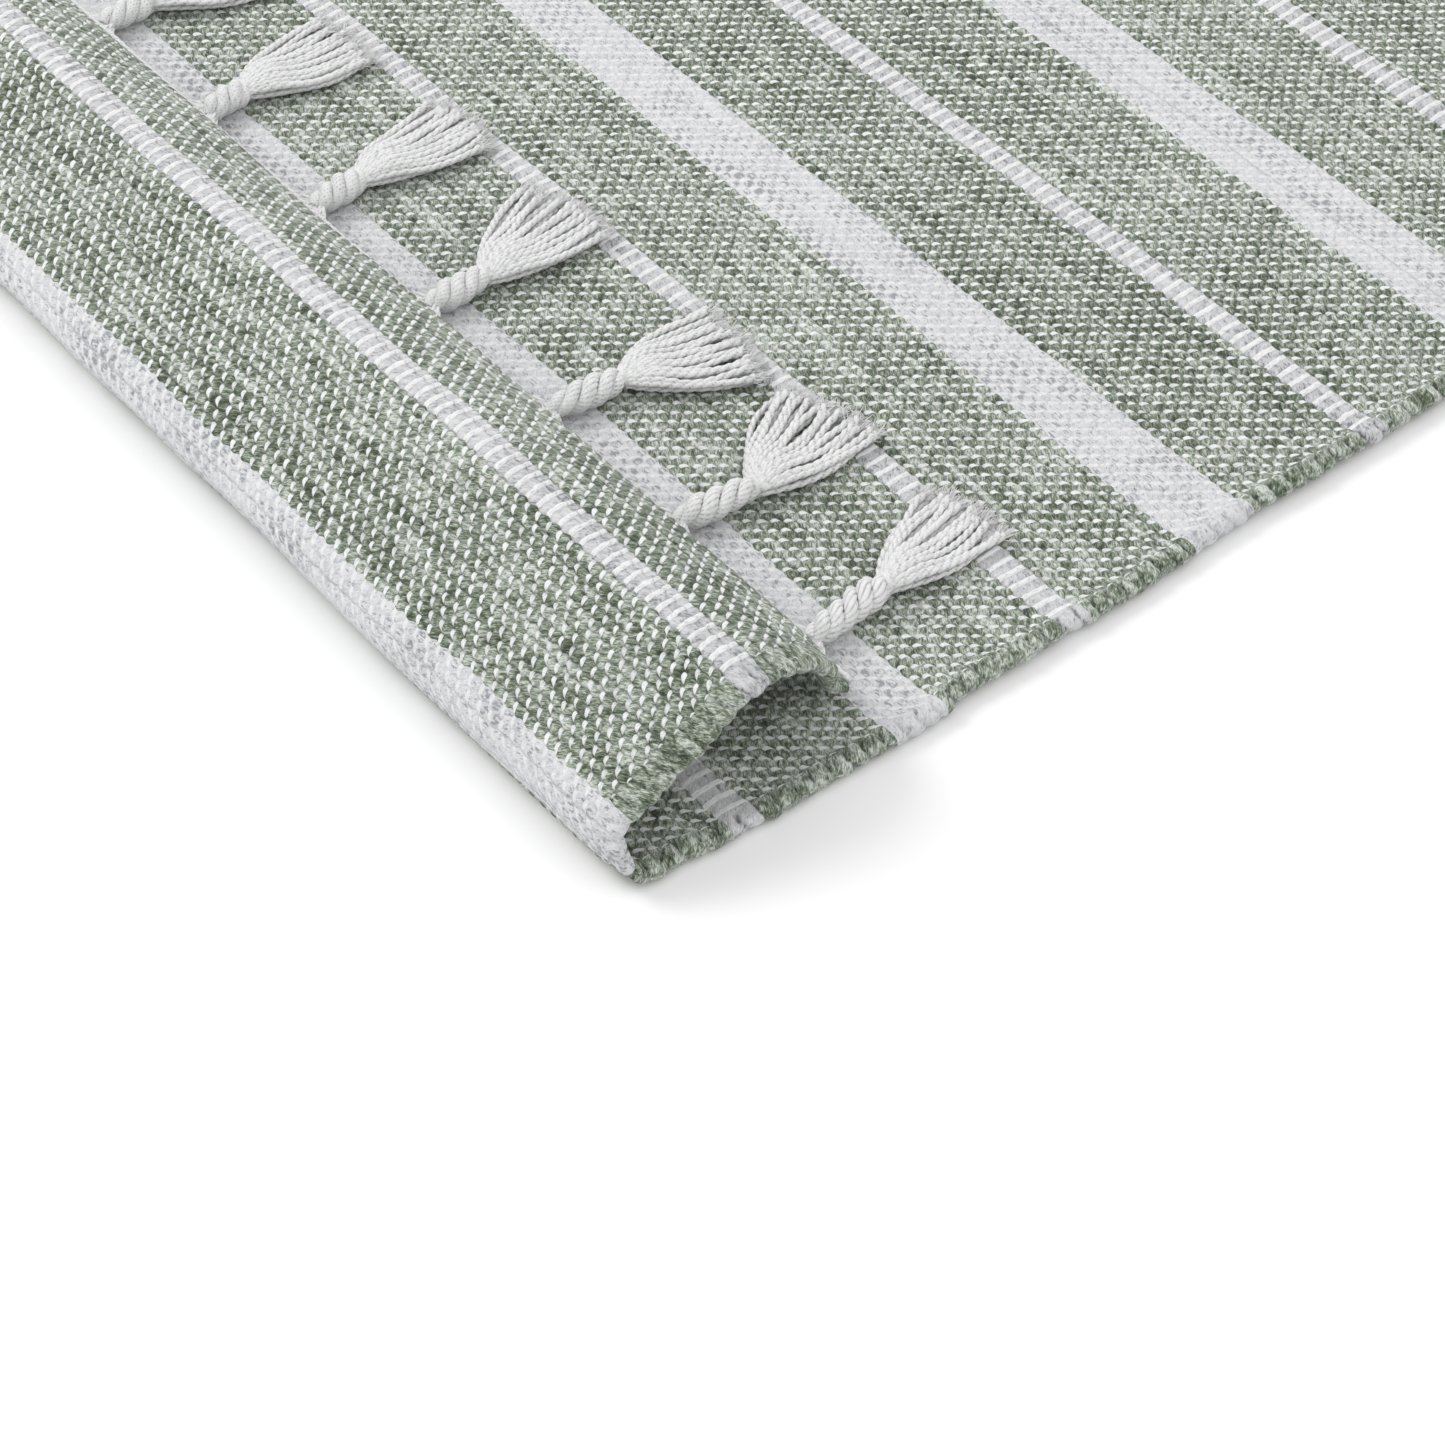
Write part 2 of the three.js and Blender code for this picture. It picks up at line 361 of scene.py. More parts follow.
def zipper(a, b, ya, yb):
    """Triangles that close the gap between two lines of points with different spacings."""
    out, i, j = [], 0, 0
    while i < len(a) - 1 or j < len(b) - 1:
        if j == len(b) - 1 or (i < len(a) - 1 and ya[i + 1] <= yb[j + 1]):
            out.append((a[i], b[j], a[i + 1]))
            i += 1
        else:
            out.append((a[i], b[j], b[j + 1]))
            j += 1
    return out


def cap(row, loop):
    """Closes one end of a strip of cloth, from face to underside and inside each selvedge."""
    f, a, u = loop.faces, loop.arc, loop.unders
    face = np.arange(f)
    right = np.arange(f, f + a)
    under = np.arange(f + a, f + a + u)[::-1]
    left = np.arange(f + a + u, f + 2 * a + u)[::-1]
    triangles = zipper(face, under, loop.y[face], loop.y[under])
    for arc, start, end in ((right, face[-1], under[-1]), (left, face[0], under[0])):
        ring = [start, *arc, end]
        fan = [(ring[0], ring[i], ring[i + 1]) for i in range(1, len(ring) - 1)]
        triangles += fan if arc is left else [t[::-1] for t in fan]
    return np.array(triangles) + row * len(loop.y)


def mesh_object(name, points, quads, triangles, material, flat=0):
    """A mesh of quads and triangles with one material, smooth shaded but for the last flat faces."""
    mesh = bpy.data.meshes.new(name)
    points = np.asarray(points, np.float32).reshape(-1, 3)
    quads = np.asarray(quads, np.int32).reshape(-1, 4)
    triangles = np.asarray(triangles, np.int32).reshape(-1, 3)
    mesh.vertices.add(len(points))
    mesh.vertices.foreach_set("co", points.ravel())
    corners = np.concatenate([quads.ravel(), triangles.ravel()])
    mesh.loops.add(len(corners))
    mesh.loops.foreach_set("vertex_index", corners)
    starts = np.concatenate([np.arange(len(quads)) * 4,
                             len(quads) * 4 + np.arange(len(triangles)) * 3])
    mesh.polygons.add(len(starts))
    mesh.polygons.foreach_set("loop_start", starts.astype(np.int32))
    mesh.polygons.foreach_set("use_smooth", np.arange(len(starts)) < len(starts) - flat)
    mesh.update(calc_edges=True)
    mesh.validate()
    mesh.materials.append(material)
    made = bpy.data.objects.new(name, mesh)
    bpy.context.scene.collection.objects.link(made)
    return made


def set_attribute(piece, name, kind, domain, values):
    attribute = piece.data.attributes.new(name, kind, domain)
    key = "vector" if kind == "FLOAT_VECTOR" else "value"
    attribute.data.foreach_set(key, np.asarray(values, np.float32).ravel())


def cloth(name, start, end, per_pick, loop, material):
    """One strip of the woven sheet, from pick start to pick end, as a closed mesh."""
    p = np.linspace(start, end, int(round((end - start) * per_pick)) + 1)
    points, pattern = cloth_points(p, loop)
    rows, count = len(p), len(loop.y)
    i = np.arange(rows - 1)[:, None] * count
    j = np.arange(count)[None]
    k = (j + 1) % count
    quads = np.stack(np.broadcast_arrays(i + j, i + count + j, i + count + k, i + k), -1)
    quads = quads.reshape(-1, 4)
    caps = np.concatenate([cap(0, loop)[:, ::-1], cap(rows - 1, loop)])
    piece = mesh_object(name, points, quads, caps, material, flat=len(caps))
    set_attribute(piece, "weave", "FLOAT_VECTOR", "POINT", pattern)
    middle = np.clip(((p[1:] + p[:-1]) / 2).astype(int), 0, PICKS - 1)
    kinds = np.concatenate([np.repeat(YARN[middle], count), np.zeros(len(caps))])
    set_attribute(piece, "yarn", "FLOAT", "FACE", kinds)
    return piece


# ---------------------------------------------------------------- materials
class Nodes:
    """Short words for building a material's node tree."""

    def __init__(self, name):
        self.material = bpy.data.materials.new(name)
        self.material.use_nodes = True
        self.tree = self.material.node_tree
        self.shader = self.tree.nodes["Principled BSDF"]

    def put(self, socket, value):
        if isinstance(value, bpy.types.NodeSocket):
            self.tree.links.new(value, socket)
        else:
            socket.default_value = value

    def math(self, operation, *values):
        node = self.tree.nodes.new("ShaderNodeMath")
        node.operation = operation
        for socket, value in zip(node.inputs, values):
            self.put(socket, value)
        return node.outputs[0]

    def attribute(self, name):
        node = self.tree.nodes.new("ShaderNodeAttribute")
        node.attribute_name = name
        return node

    def split(self, vector):
        node = self.tree.nodes.new("ShaderNodeSeparateXYZ")
        self.put(node.inputs[0], vector)
        return node.outputs

    def join(self, x, y, z):
        node = self.tree.nodes.new("ShaderNodeCombineXYZ")
        for socket, value in zip(node.inputs, (x, y, z)):
            self.put(socket, value)
        return node.outputs[0]

    def noise(self, vector, scale=1.0, detail=2.0, rough=0.5):
        node = self.tree.nodes.new("ShaderNodeTexNoise")
        self.put(node.inputs["Vector"], vector)
        self.put(node.inputs["Scale"], scale)
        self.put(node.inputs["Detail"], detail)
        self.put(node.inputs["Roughness"], rough)
        return node.outputs[0]

    def ramp(self, value, *stops):
        node = self.tree.nodes.new("ShaderNodeValToRGB")
        ramp = node.color_ramp
        while len(ramp.elements) < len(stops):
            ramp.elements.new(0.5)
        for element, (place, colour) in zip(ramp.elements, stops):
            element.position = place
            element.color = (*colour, 1)
        self.put(node.inputs[0], value)
        return node.outputs[0]

    def mix(self, share, a, b, blend="MIX"):
        node = self.tree.nodes.new("ShaderNodeMix")
        node.data_type, node.blend_type = "RGBA", blend
        self.put(node.inputs[0], share)
        self.put(node.inputs[6], a)
        self.put(node.inputs[7], b)
        return node.outputs[2]

    def smooth(self, value, low, high):
        node = self.tree.nodes.new("ShaderNodeMapRange")
        node.interpolation_type = "SMOOTHSTEP"
        for socket, v in zip(node.inputs, (value, low, high, 0.0, 1.0)):
            self.put(socket, v)
        return node.outputs[0]

    def finish(self, colour, height, distance, roughness, sheen):
        bump = self.tree.nodes.new("ShaderNodeBump")
        self.put(bump.inputs["Height"], height)
        bump.inputs["Distance"].default_value = distance
        bump.inputs["Strength"].default_value = 1.0
        self.put(self.shader.inputs["Base Color"], colour)
        self.put(self.shader.inputs["Normal"], bump.outputs[0])
        self.put(self.shader.inputs["Roughness"], roughness)
        self.shader.inputs["Specular IOR Level"].default_value = 0.2
        self.shader.inputs["Sheen Weight"].default_value = sheen
        self.shader.inputs["Sheen Roughness"].default_value = 0.6
        return self.material


def grey(value):
    return (value, value, value)


# Colours by tone, from the hollows between fibres to their lit sides
SAGE_TONES = ((0.08, (0.022, 0.034, 0.016)), (0.32, (0.082, 0.110, 0.064)),
              (0.57, (0.220, 0.262, 0.198)), (0.94, (0.590, 0.622, 0.575)))
LIGHT_TONES = ((0.00, (0.300, 0.315, 0.340)), (0.24, (0.475, 0.490, 0.512)),
               (0.46, (0.572, 0.582, 0.594)), (0.90, (0.650, 0.655, 0.657)))
RIB_TONES = ((0.10, (0.180, 0.190, 0.200)), (0.36, (0.435, 0.445, 0.455)),
             (0.90, (0.610, 0.612, 0.615)))
WARP_TONES = ((0.28, (0.56, 0.575, 0.58)), (0.52, (0.80, 0.805, 0.805)))
YARN_TONES = ((0.30, (0.56, 0.57, 0.565)), (0.50, (0.73, 0.735, 0.73)), (0.70, (0.80, 0.80, 0.795)))
DARK_FLECK = (0.150, 0.160, 0.185, 1)
DARK_HAIR = (0.040, 0.050, 0.035, 1)


def woven_material():
    """Thick melange weft with thin white warps crossing it, read from the pattern coordinates."""
    g = Nodes("woven_cloth")
    p, v, lift = g.split(g.attribute("weave").outputs["Vector"])
    yarn = g.attribute("yarn").outputs["Fac"]
    is_rib = g.math("GREATER_THAN", yarn, 1.5)
    is_light = g.math("COMPARE", yarn, 1.0, 0.4)
    pick = g.math("FLOOR", p)
    u = g.math("SUBTRACT", p, pick)
    parity = g.math("MULTIPLY", pick, g.math("SUBTRACT", 1.0, is_rib))
    w = g.math("MULTIPLY", g.math("ADD", v, parity), 0.5)
    near = g.math("SUBTRACT", w, g.math("ROUND", w))
    dot = g.math("MULTIPLY", g.math("ABSOLUTE", near), 2.0)
    warp_number = g.math("ROUND", w)

    # Fibres run along each yarn with its twist: places in millimetres, turned by the twist.
    across = g.math("MULTIPLY", u, PICK * 1000)
    along = g.math("MULTIPLY", v, WARP * 1000)
    lane = g.math("MULTIPLY", pick, 7.31)
    run = g.math("ADD", g.math("MULTIPLY", along, 0.90), g.math("MULTIPLY", across, 0.42))
    cut = g.math("SUBTRACT", g.math("MULTIPLY", across, 0.90), g.math("MULTIPLY", along, 0.42))
    fibre = g.join(g.math("MULTIPLY", cut, 3.4), g.math("MULTIPLY", run, 0.62), lane)
    fibre = g.noise(fibre, 1.0, 3.0, 0.62)
    tuft = g.noise(g.join(g.math("MULTIPLY", cut, 0.9), g.math("MULTIPLY", run, 0.35), lane), 1.0, 1.0)
    streak = g.join(g.math("MULTIPLY", along, 0.03), g.math("MULTIPLY", lane, 0.21), 0.0)
    streak = g.noise(streak, 1.0, 3.0)
    slub = g.noise(g.join(g.math("MULTIPLY", along, 0.16), g.math("MULTIPLY", p, 0.55), 8.0), 1.0, 2.0)
    patch = g.noise(g.join(g.math("MULTIPLY", p, 0.035), g.math("MULTIPLY", v, 0.018), 3.0), 1.0, 2.0)

    # Dark hairs where a noise crosses its middle, and short dark flecks in the marled yarn
    hair = g.join(g.math("MULTIPLY", cut, 1.9), g.math("MULTIPLY", run, 0.42), g.math("ADD", lane, 40.0))
    hair = g.math("ABSOLUTE", g.math("SUBTRACT", g.noise(hair, 1.0, 1.0), 0.5))
    hair = g.smooth(hair, 0.032, 0.004)
    fleck = g.join(g.math("MULTIPLY", along, 0.42), g.math("MULTIPLY", across, 1.5), lane)
    fleck = g.noise(fleck, 1.0, 2.0)
    often = g.noise(g.join(g.math("MULTIPLY", p, 0.31), g.math("MULTIPLY", v, 0.06), 5.0), 1.0, 2.0)
    fleck = g.smooth(g.math("ADD", fleck, g.math("MULTIPLY", often, 0.7)), 0.86, 1.00)
    off_middle = g.math("ABSOLUTE", g.math("SUBTRACT", u, 0.5))
    fleck = g.math("MULTIPLY", fleck, g.smooth(off_middle, 0.50, 0.28))
    fleck = g.math("MULTIPLY", fleck, g.smooth(dot, 0.30, 0.55))
    total = g.math("ADD", g.math("MULTIPLY", fibre, 1.10), g.math("MULTIPLY", tuft, 0.80))
    total = g.math("ADD", total, g.math("MULTIPLY", streak, 0.65))
    total = g.math("ADD", total, g.math("MULTIPLY", patch, 0.30))
    total = g.math("ADD", total, g.math("MULTIPLY", slub, 0.45))
    tone = g.math("SUBTRACT", g.math("MULTIPLY", total, 1.6), 2.08)
    sage = g.ramp(tone, *SAGE_TONES)
    light = g.ramp(tone, *LIGHT_TONES)
    dashes = g.math("MULTIPLY", g.math("MAXIMUM", fleck, g.math("MULTIPLY", hair, 0.5)), 0.72)
    light = g.mix(dashes, light, DARK_FLECK)
    sage = g.mix(g.math("MULTIPLY", hair, 0.65), sage, DARK_HAIR)
    rib = g.ramp(g.math("SUBTRACT", tone, g.math("MULTIPLY", hair, 0.25)), *RIB_TONES)
    weft = g.mix(is_light, sage, light)
    weft = g.mix(is_rib, weft, rib)

    # The warps: an oval on a plain pick, a bar right across a rib, none on the selvedge.
    wobble = g.noise(g.join(g.math("MULTIPLY", u, 2.3), g.math("MULTIPLY", v, 2.1), lane), 1.0, 2.0)
    wobble = g.math("MULTIPLY", g.math("SUBTRACT", wobble, 0.5), 1.1)
    lengthways = g.math("MULTIPLY", g.math("SUBTRACT", u, 0.5), g.math("SUBTRACT", 1.0, is_rib))
    # Each dot is slanted and bent a little, like a crescent.
    slant = g.math("ADD", near, g.math("MULTIPLY", lengthways, 0.20))
    bent = g.math("MULTIPLY", g.math("MULTIPLY", lengthways, lengthways), 0.25)
    aside = g.math("MULTIPLY", g.math("ADD", slant, bent), 2.0)
    wide = g.math("ADD", 0.295, g.math("MULTIPLY", is_rib, 0.06))
    reach = g.math("ADD", g.math("POWER", g.math("DIVIDE", g.math("ABSOLUTE", aside), wide), 3.0),
                   g.math("POWER", g.math("DIVIDE", g.math("ABSOLUTE", lengthways), 0.50), 3.0))
    worn = g.math("MULTIPLY", g.math("SUBTRACT", fibre, 0.5), 1.5)
    oval = g.smooth(g.math("ADD", g.math("ADD", reach, wobble), worn), 1.30, 0.75)
    inside = g.math("LESS_THAN", g.math("ABSOLUTE", g.math("SUBTRACT", v, 0.5)), LAST_WARP + 0.4)
    oval = g.math("MULTIPLY", oval, inside)
    oval = g.math("MULTIPLY", oval, g.math("SUBTRACT", 1.0, g.math("MULTIPLY", is_light, 0.35)))
    thread = g.join(g.math("MULTIPLY", v, 7.0), g.math("MULTIPLY", u, 1.6), warp_number)
    thread = g.noise(thread, 1.0, 2.0)
    warp = g.ramp(thread, *WARP_TONES)
    colour = g.mix(oval, weft, warp)

    # Light hardly reaches the gaps between the yarns.
    hollow = g.smooth(lift, -0.05, 0.80)
    depth = g.math("SUBTRACT", 0.80, g.math("MULTIPLY", is_light, 0.55))
    shade = g.math("SUBTRACT", 1.0, g.math("MULTIPLY", g.math("SUBTRACT", 1.0, hollow), depth))
    colour = g.mix(1.0, colour, g.join(shade, shade, shade), "MULTIPLY")
    relief = g.math("ADD", fibre, g.math("MULTIPLY", tuft, 0.5))
    relief = g.math("ADD", relief, g.math("MULTIPLY", thread, g.math("MULTIPLY", oval, 0.6)))
    rough = g.math("ADD", 0.86, g.math("MULTIPLY", fibre, 0.12))
    return g.finish(colour, relief, 0.00035, rough, 0.25)


def yarn_material():
    """White cotton of the warps and tassels, with its plies' fibres, from coordinates on the yarn."""
    g = Nodes("white_yarn")
    along, around, lift = g.split(g.attribute("strand").outputs["Vector"])
    fibre = g.join(g.math("MULTIPLY", along, 0.9), g.math("MULTIPLY", around, 2.6), lift)
    fibre = g.noise(fibre, 1.0, 3.0, 0.6)
    cloud = g.join(g.math("MULTIPLY", along, 0.08), g.math("MULTIPLY", around, 0.2), 1.7)
    cloud = g.noise(cloud, 1.0, 1.0)
    tone = g.math("ADD", g.math("MULTIPLY", fibre, 0.75), g.math("MULTIPLY", cloud, 0.25))
    colour = g.ramp(tone, *YARN_TONES)
    # Painted shade: the colour is darkened in the grooves between the plies.
    shade = g.math("ADD", 0.50, g.math("MULTIPLY", g.smooth(lift, 0.0, 0.70), 0.50))
    colour = g.mix(1.0, colour, g.join(shade, shade, shade), "MULTIPLY")
    rough = g.math("ADD", 0.80, g.math("MULTIPLY", fibre, 0.15))
    return g.finish(colour, fibre, 0.0002, rough, 0.25)


WOVEN = woven_material()
YARN_WHITE = yarn_material()


# ---------------------------------------------------------------- the woven sheet
def strip_loops():
    """The lines across each kind of strip: fine where the fold and the corner are, coarse elsewhere."""
    fine_face = warp_lines(4, 2, 30, 7)
    fine_fold = warp_lines(4, 2, 46, 7)
    medium = warp_lines(1, 1, 0, 3)
    coarse = warp_lines(1, 1, 0, 3)[::3]
    ends = np.array([-1, 1]) * (HALF_WIDTH - EDGE_RADIUS)
    coarse = np.unique(np.round(np.concatenate([coarse, ends]), 7))
    return {
        "fold": Loop(medium, fine_fold),
        "near": Loop(fine_face, coarse),
        "far": Loop(medium, coarse),
    }


FOLD_NODES = ["fold_low", "fold_mid", "fold_high", "roof_panel", "ridge_rib", "flap_panel", "flap_tail",
              "toe_panel"]
# Each strip round a bend starts and ends between two hinge lines, in picks from the folded end.
CUTS = [62, 41, 39, 36, 27, 17, 12, 5, 1, 0]
NARROW = {39: 41, 0: 1}  # the start of a narrow strip, and the start of the strip beside it
NEAR_CUTS = [62, 84, 106, 128, 151, 174]
FAR_CUTS = [174, 267, 364, 461, PICKS]
FINE_ROWS, COARSE_ROWS = 4, 2  # rows of points to a pick


def declare_cloth(start, end):
    width = float(2 * half_width((start + end) / 2))


def woven_sheet():
    loops = strip_loops()
    made = {}
    for i, (end, start) in enumerate(zip(CUTS, CUTS[1:])):
        piece = cloth(f"cloth_{BENDS[i]}", start, end, FINE_ROWS, loops["fold"], WOVEN)
        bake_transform(piece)
        if i < len(FOLD_NODES):
            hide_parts(FOLD_NODES[i])
        made[start] = (piece, end)
    # The two narrowest strips are too short to be sheets of their own and go with their neighbours.
    for start, (piece, end) in made.items():
        if start not in NARROW:
            declare_cloth(start, end)
    flat = [(*cut, FINE_ROWS, loops["near"]) for cut in zip(NEAR_CUTS, NEAR_CUTS[1:])]
    flat += [(*cut, COARSE_ROWS, loops["far"]) for cut in zip(FAR_CUTS, FAR_CUTS[1:])]
    for i, (start, end, per_pick, loop) in enumerate(flat):
        piece = cloth(f"cloth_field_{i + 1}", start, end, per_pick, loop, WOVEN)
        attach(piece, "field")
        if i == 0:
            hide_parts("base_field")
        declare_cloth(start, end)


woven_sheet()


# ---------------------------------------------------------------- yarns, cords and tassels
class Bundle:
    """Many swept yarns gathered into one mesh of white yarn."""

    def __init__(self):
        self.points, self.quads, self.triangles, self.strand, self.count = [], [], [], [], 0

    def sweep(self, line, radius, sides, lobes=0, twist=0.0, depth=0.0, phase=0.0):
        """A closed tube round a line of points. lobes, twist and depth give it twisted plies."""
        line = np.asarray(line, float)
        n = len(line)
        radius = np.broadcast_to(radius, n)
        tangent = np.gradient(line, axis=0)
        tangent /= np.linalg.norm(tangent, axis=1)[:, None]
        side = np.cross(tangent, (0, 0, 1.0))
        weak = np.linalg.norm(side, axis=1) < 1e-3
        side[weak] = np.cross(tangent[weak], (0, 1.0, 0))
        side /= np.linalg.norm(side, axis=1)[:, None]
        up = np.cross(side, tangent)
        gone = np.concatenate([[0], np.cumsum(np.linalg.norm(np.diff(line, axis=0), axis=1))])
        angle = 2 * math.pi * np.arange(sides) / sides
        turned = angle[None] - twist * gone[:, None] + phase
        ply = np.abs(np.sin(turned * lobes / 2)) if lobes else np.ones_like(turned)
        r = radius[:, None] * (1 - depth + depth * ply)
        ring = (r * np.cos(angle))[..., None] * side[:, None]
        ring = ring + (r * np.sin(angle))[..., None] * up[:, None]
        points = (line[:, None] + ring).reshape(-1, 3)
        i = np.arange(n - 1)[:, None] * sides
        j = np.arange(sides)[None]
        k = (j + 1) % sides
        quads = np.stack(np.broadcast_arrays(i + j, i + k, i + sides + k, i + sides + j), -1)
        quads = quads.reshape(-1, 4)
        first, last = n * sides, n * sides + 1
        tips = [(first, b, a) for a, b in zip(range(sides), np.roll(range(sides), -1))]
        back = (n - 1) * sides
        tips += [(last, back + a, back + b) for a, b in zip(range(sides), np.roll(range(sides), -1))]
        strand = np.stack([np.broadcast_to(gone[:, None] * 1000, turned.shape),
                           np.broadcast_to(turned * radius[:, None] * 1000, turned.shape), ply], -1)
        self.points += [points, line[:1], line[-1:]]
        self.quads.append(quads[:, ::-1] + self.count)
        self.triangles.append(np.array(tips)[:, ::-1] + self.count)
        self.strand += [strand.reshape(-1, 3), [[0, 0, 0.5]], [[gone[-1] * 1000, 0, 0.5]]]
        self.count += len(points) + 2

    def make(self, name):
        piece = mesh_object(name, np.concatenate(self.points), np.concatenate(self.quads),
                            np.concatenate(self.triangles), YARN_WHITE)
        set_attribute(piece, "strand", "FLOAT_VECTOR", "POINT", np.concatenate(self.strand))
        return piece


TASSELS = range(1, 11)  # their numbers on each end
NECK_RADIUS = 0.00425
NECK_LIFT = 0.0009  # keeps the strands of a neck above the floor
STRAND_TWIST = 2 * math.pi / 0.010  # of the warps in a strand, radians a metre
STRANDS = 3
STRAND_PITCHES = (0.017, 0.021)  # least and most length of a turn of the strands
STRAND_OUT, STRAND_RADIUS = 0.47, 0.56  # of the neck's radius
TIE_RADIUS = 0.00042  # of the thread round the end of the neck
TIE_TURNS = 3
SKIRT_YARNS = 28
FRAYS = 18  # loose fibre ends on each yarn of a skirt
YARN_REST = 1.22  # radii from the floor to the middle of a skirt yarn that lies on it
YARN_RADII = (0.00118, 0.00142)
YARN_PITCHES = (0.0070, 0.0088)
FRAY_LENGTHS = (0.0022, 0.0056)
FRAY_RADII = (0.00030, 0.00010)  # at its root and its tip


def node_points(node):
    mesh = bpy.data.objects[node].data
    co = np.empty(len(mesh.vertices) * 3)
    mesh.vertices.foreach_get("co", co)
    return co.reshape(-1, 3)


def tassel_lay(name):
    """Root, tie and tip of a tassel, and half its width at the tips, from its CAD pieces."""
    root = np.array(JOINTS[f"{name}_lift"]["pos_m"])
    neck = node_points(f"{name}_neck") - root
    flat = np.linalg.norm(neck[:, :2], axis=1)
    tie = root + np.array([*neck[flat > flat.max() - 0.0005][:, :2].mean(0), 0])
    skirt = node_points(f"{name}_skirt") - tie
    flat = np.linalg.norm(skirt[:, :2], axis=1)
    tip = tie + np.array([*skirt[flat > flat.max() * 0.93][:, :2].mean(0), 0])
    along = (tip - tie) / np.linalg.norm(tip - tie)
    half = np.abs(skirt[:, 0] * along[1] - skirt[:, 1] * along[0]).max()
    return root, tie, tip, half


def neck_piece(name, root, tie, rng):
    """The twisted neck of a tassel, with its tie."""
    bundle = Bundle()
    reach = tie - root
    s = np.linspace(0, 1, 46)
    length = np.linalg.norm(reach)
    line = root - reach / length * 0.0012 + s[:, None] * (reach * (1 + 0.0012 / length))
    line = line + np.array([0, 0, NECK_LIFT])
    body = NECK_RADIUS * (0.70 + 0.38 * steps(s / 0.22)) * (1 + 0.07 * np.sin(s * 9 + rng.uniform(0, 6)))
    body = body * (1 - 0.26 * steps((s - 0.84) / 0.12))
    pitch = rng.uniform(*STRAND_PITCHES)
    phase = rng.uniform(0, 6)
    # Three thick strands, each a bundle of warps, twisted round each other
    along = reach / length
    level = np.cross(along, (0, 0, 1.0))
    # The neck lies wider than it is high, but for its two ends.
    oval = 1 + 0.6 * steps((s - 0.10) / 0.30) * (1 - steps((s - 0.70) / 0.28))
    for strand in range(STRANDS):
        angle = phase + strand * 2 * math.pi / STRANDS + 2 * math.pi * s * length / pitch
        ring = (np.cos(angle) * oval)[:, None] * level + np.sin(angle)[:, None] * np.array([0, 0, 1.0])
        centre = line + ring * (body * STRAND_OUT)[:, None]
        bundle.sweep(centre, body * STRAND_RADIUS, 24, lobes=6, twist=STRAND_TWIST, depth=0.22,
                     phase=rng.uniform(0, 6))
    # The tie: a thin thread wound round the end of the neck
    turn = np.linspace(0, TIE_TURNS * 2 * math.pi, 22 * TIE_TURNS)
    centre = tie - along * 0.0022 + along * (turn / turn[-1])[:, None] * 0.0018
    ring = np.cos(turn)[:, None] * level + np.sin(turn)[:, None] * np.array([0, 0, 1.0])
    bundle.sweep(centre + ring * NECK_RADIUS * 0.84, TIE_RADIUS, 6)
    return bundle.make(f"{name}_twist")


def skirt_piece(name, tie, tip, half, rng):
    """The loose yarns of a tassel, in two layers that spread from the tie and lie down."""
    bundle = Bundle()
    along = (tip - tie) / np.linalg.norm(tip - tie)
    level = np.cross(along, (0, 0, 1.0))
    length = np.linalg.norm(tip - tie) * 1.02
    s = np.linspace(0, 1, 44)
    for i in range(SKIRT_YARNS):
        layer = i % 2
        lane = i // 2 + 0.5 + 0.5 * layer + rng.uniform(-0.3, 0.3)
        lane = lane / (SKIRT_YARNS / 2 + 0.5) * 2 - 1
        radius = rng.uniform(*YARN_RADII)
        reach = length * (1 + rng.uniform(-0.07, 0.02) - 0.07 * lane * lane)
        spread = 1 - (1 - s) ** 2.1
        aside = lane * (0.0028 + (half - 0.0032) * spread)
        aside = aside + 0.0014 * np.sin(s * rng.uniform(3, 8) + rng.uniform(0, 6)) * s
        rest = -NECK_RADIUS + radius * (YARN_REST + 1.7 * layer)
        start = (layer - 0.5) * 0.0040 * math.sqrt(max(0.0, 1 - lane * lane))
        shoulder = 0.0030 * (layer - 0.1) * (1 - 0.6 * lane * lane) * np.exp(-((s - 0.25) / 0.17) ** 2)
        height = start + (rest - start) * steps(s / 0.75) + shoulder
        height = np.maximum(height, -NECK_RADIUS + radius * YARN_REST)
        line = tie - along * 0.002 + along * (s * (reach + 0.002))[:, None]
        line = line + level * aside[:, None] + np.array([0, 0, 1.0]) * height[:, None]
        width = radius * (0.80 + 0.20 * steps(s / 0.12)) * (1 + 0.28 * steps((s - 0.86) / 0.14))
        twist = 2 * math.pi / rng.uniform(*YARN_PITCHES)
        bundle.sweep(line, width, 10, lobes=2, twist=twist, depth=0.46, phase=rng.uniform(0, 6))
        for _ in range(FRAYS):
            fray(bundle, line[-2], line[-1] - line[-2], radius, tie[2] - NECK_RADIUS + 0.0003, rng)
    return bundle.make(f"{name}_yarns")


def fray(bundle, start, heading, radius, low, rng):
    """A loose fibre end past the cut of a yarn."""
    heading = heading / np.linalg.norm(heading)
    aim = heading + rng.normal(0, 0.45, 3) * (1, 1, 0.6)
    aim /= np.linalg.norm(aim)
    s = np.linspace(0, 1, 4)[:, None]
    base = start + rng.normal(0, radius * 0.45, 3)
    line = base + aim * s * rng.uniform(*FRAY_LENGTHS) + heading * s * s * 0.0008
    line[:, 2] = np.maximum(line[:, 2], low)
    bundle.sweep(line, np.linspace(*FRAY_RADII, 4), 3)


def tassels():
    rng = np.random.default_rng(11)
    for end in ("folded", "far"):
        for number in TASSELS:
            name = f"tassel_{end}_{number:02d}"
            root, tie, tip, half = tassel_lay(name)
            neck = neck_piece(name, root, tie, rng)
            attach(neck, name)
            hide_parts(f"{name}_neck")
            skirt = skirt_piece(name, tie, tip, half, rng)
            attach(skirt, name)
            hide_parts(f"{name}_skirt")


tassels()


